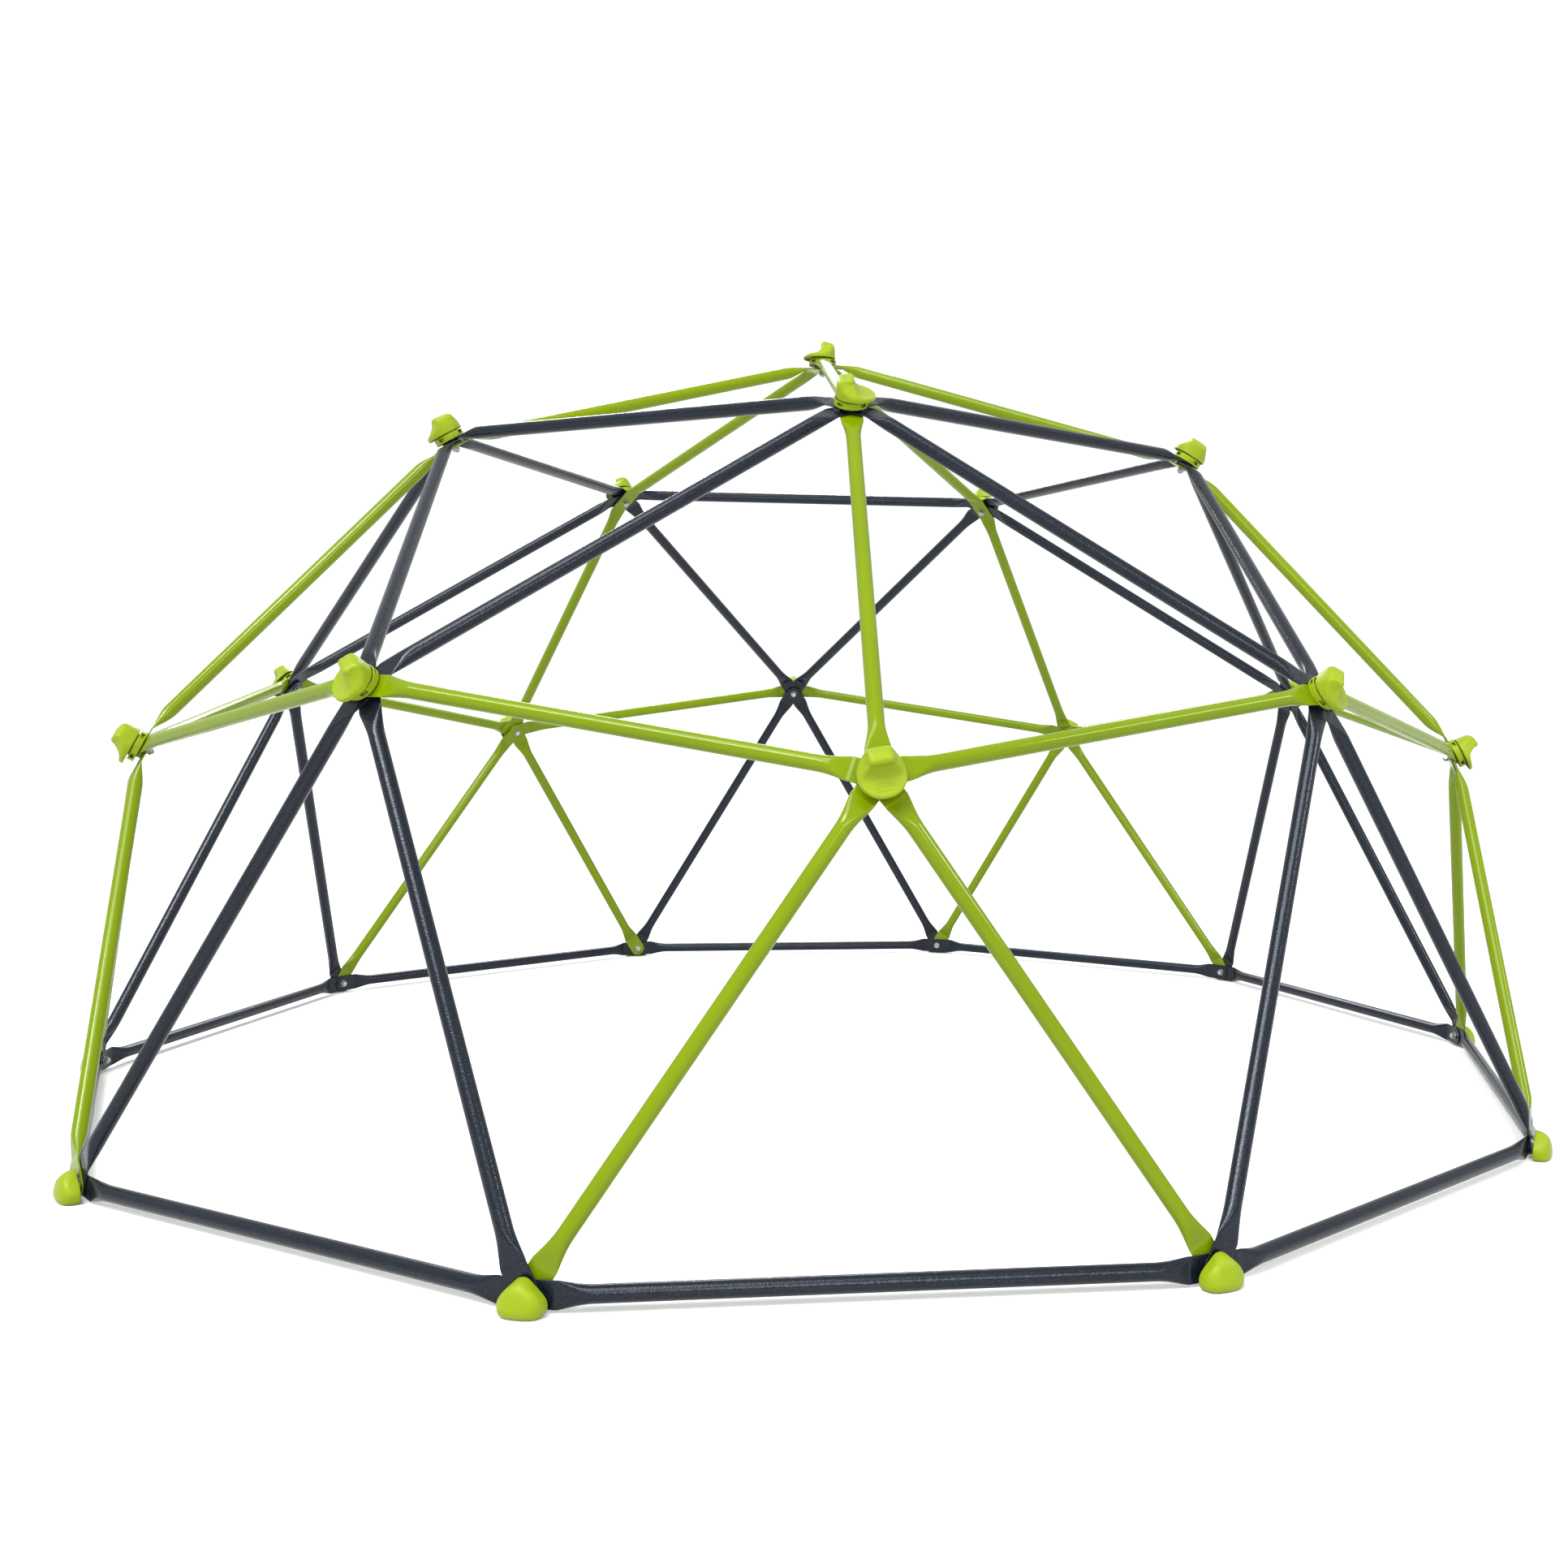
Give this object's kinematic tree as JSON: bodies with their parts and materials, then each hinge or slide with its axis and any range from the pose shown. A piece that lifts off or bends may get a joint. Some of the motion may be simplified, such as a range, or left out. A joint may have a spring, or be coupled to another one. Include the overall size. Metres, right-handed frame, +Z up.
{
  "type": "dome climber",
  "caption": "Geodesic hemisphere climbing frame of bolted steel tubes with flattened ends, moulded hub caps and foot caps, for children to climb on and crawl through.",
  "frame": {"origin": "centre of the footprint, on the ground", "axes": "+Z up; -Y towards the first corner hub of the belt, which has two green legs under it"},
  "size_m": [3.1324, 2.984, 1.6081],
  "materials": {
    "green_tube": "glossy powder coat",
    "dark_tube": "hammered powder coat",
    "caps": "satin moulded plastic",
    "fasteners": "bright zinc plate"
  },
  "bodies": {
    "root": {"base_rail_1": "dark_tube", "base_rail_10": "dark_tube", "base_rail_2": "dark_tube", "base_rail_3": "dark_tube", "base_rail_4": "dark_tube", "base_rail_5": "dark_tube", "base_rail_6": "dark_tube", "base_rail_7": "dark_tube", "base_rail_8": "dark_tube", "base_rail_9": "dark_tube", "belt_rails_1": "green_tube", "belt_rails_2": "green_tube", "belt_rails_3": "green_tube", "belt_rails_4": "green_tube", "belt_rails_5": "green_tube", "corner_cap_bases": "caps", "corner_caps": "caps", "corner_legs_1": "green_tube", "corner_legs_2": "green_tube", "corner_legs_3": "green_tube", "corner_legs_4": "green_tube", "corner_legs_5": "green_tube", "crown_cap": "caps", "crown_cap_base": "caps", "crown_spoke_1": "green_tube", "crown_spoke_2": "green_tube", "crown_spoke_3": "green_tube", "crown_spoke_4": "green_tube", "crown_spoke_5": "green_tube", "foot_bolts": "fasteners", "foot_caps": "caps", "foot_nuts": "fasteners", "foot_washers": "fasteners", "hub_bolts": "fasteners", "hub_nuts": "fasteners", "hub_washers": "fasteners", "middle_cap_bases": "caps", "middle_caps": "caps", "middle_legs_1": "dark_tube", "middle_legs_2": "dark_tube", "middle_legs_3": "dark_tube", "middle_legs_4": "dark_tube", "middle_legs_5": "dark_tube", "ring_cap_bases": "caps", "ring_caps": "caps", "ring_rail_1": "dark_tube", "ring_rail_2": "dark_tube", "ring_rail_3": "dark_tube", "ring_rail_4": "dark_tube", "ring_rail_5": "dark_tube", "shoulder_bar_1": "green_tube", "shoulder_bar_2": "green_tube", "shoulder_bar_3": "green_tube", "shoulder_bar_4": "green_tube", "shoulder_bar_5": "green_tube", "shoulder_braces_1": "dark_tube", "shoulder_braces_2": "dark_tube", "shoulder_braces_3": "dark_tube", "shoulder_braces_4": "dark_tube", "shoulder_braces_5": "dark_tube"}
  },
  "joints": []
}
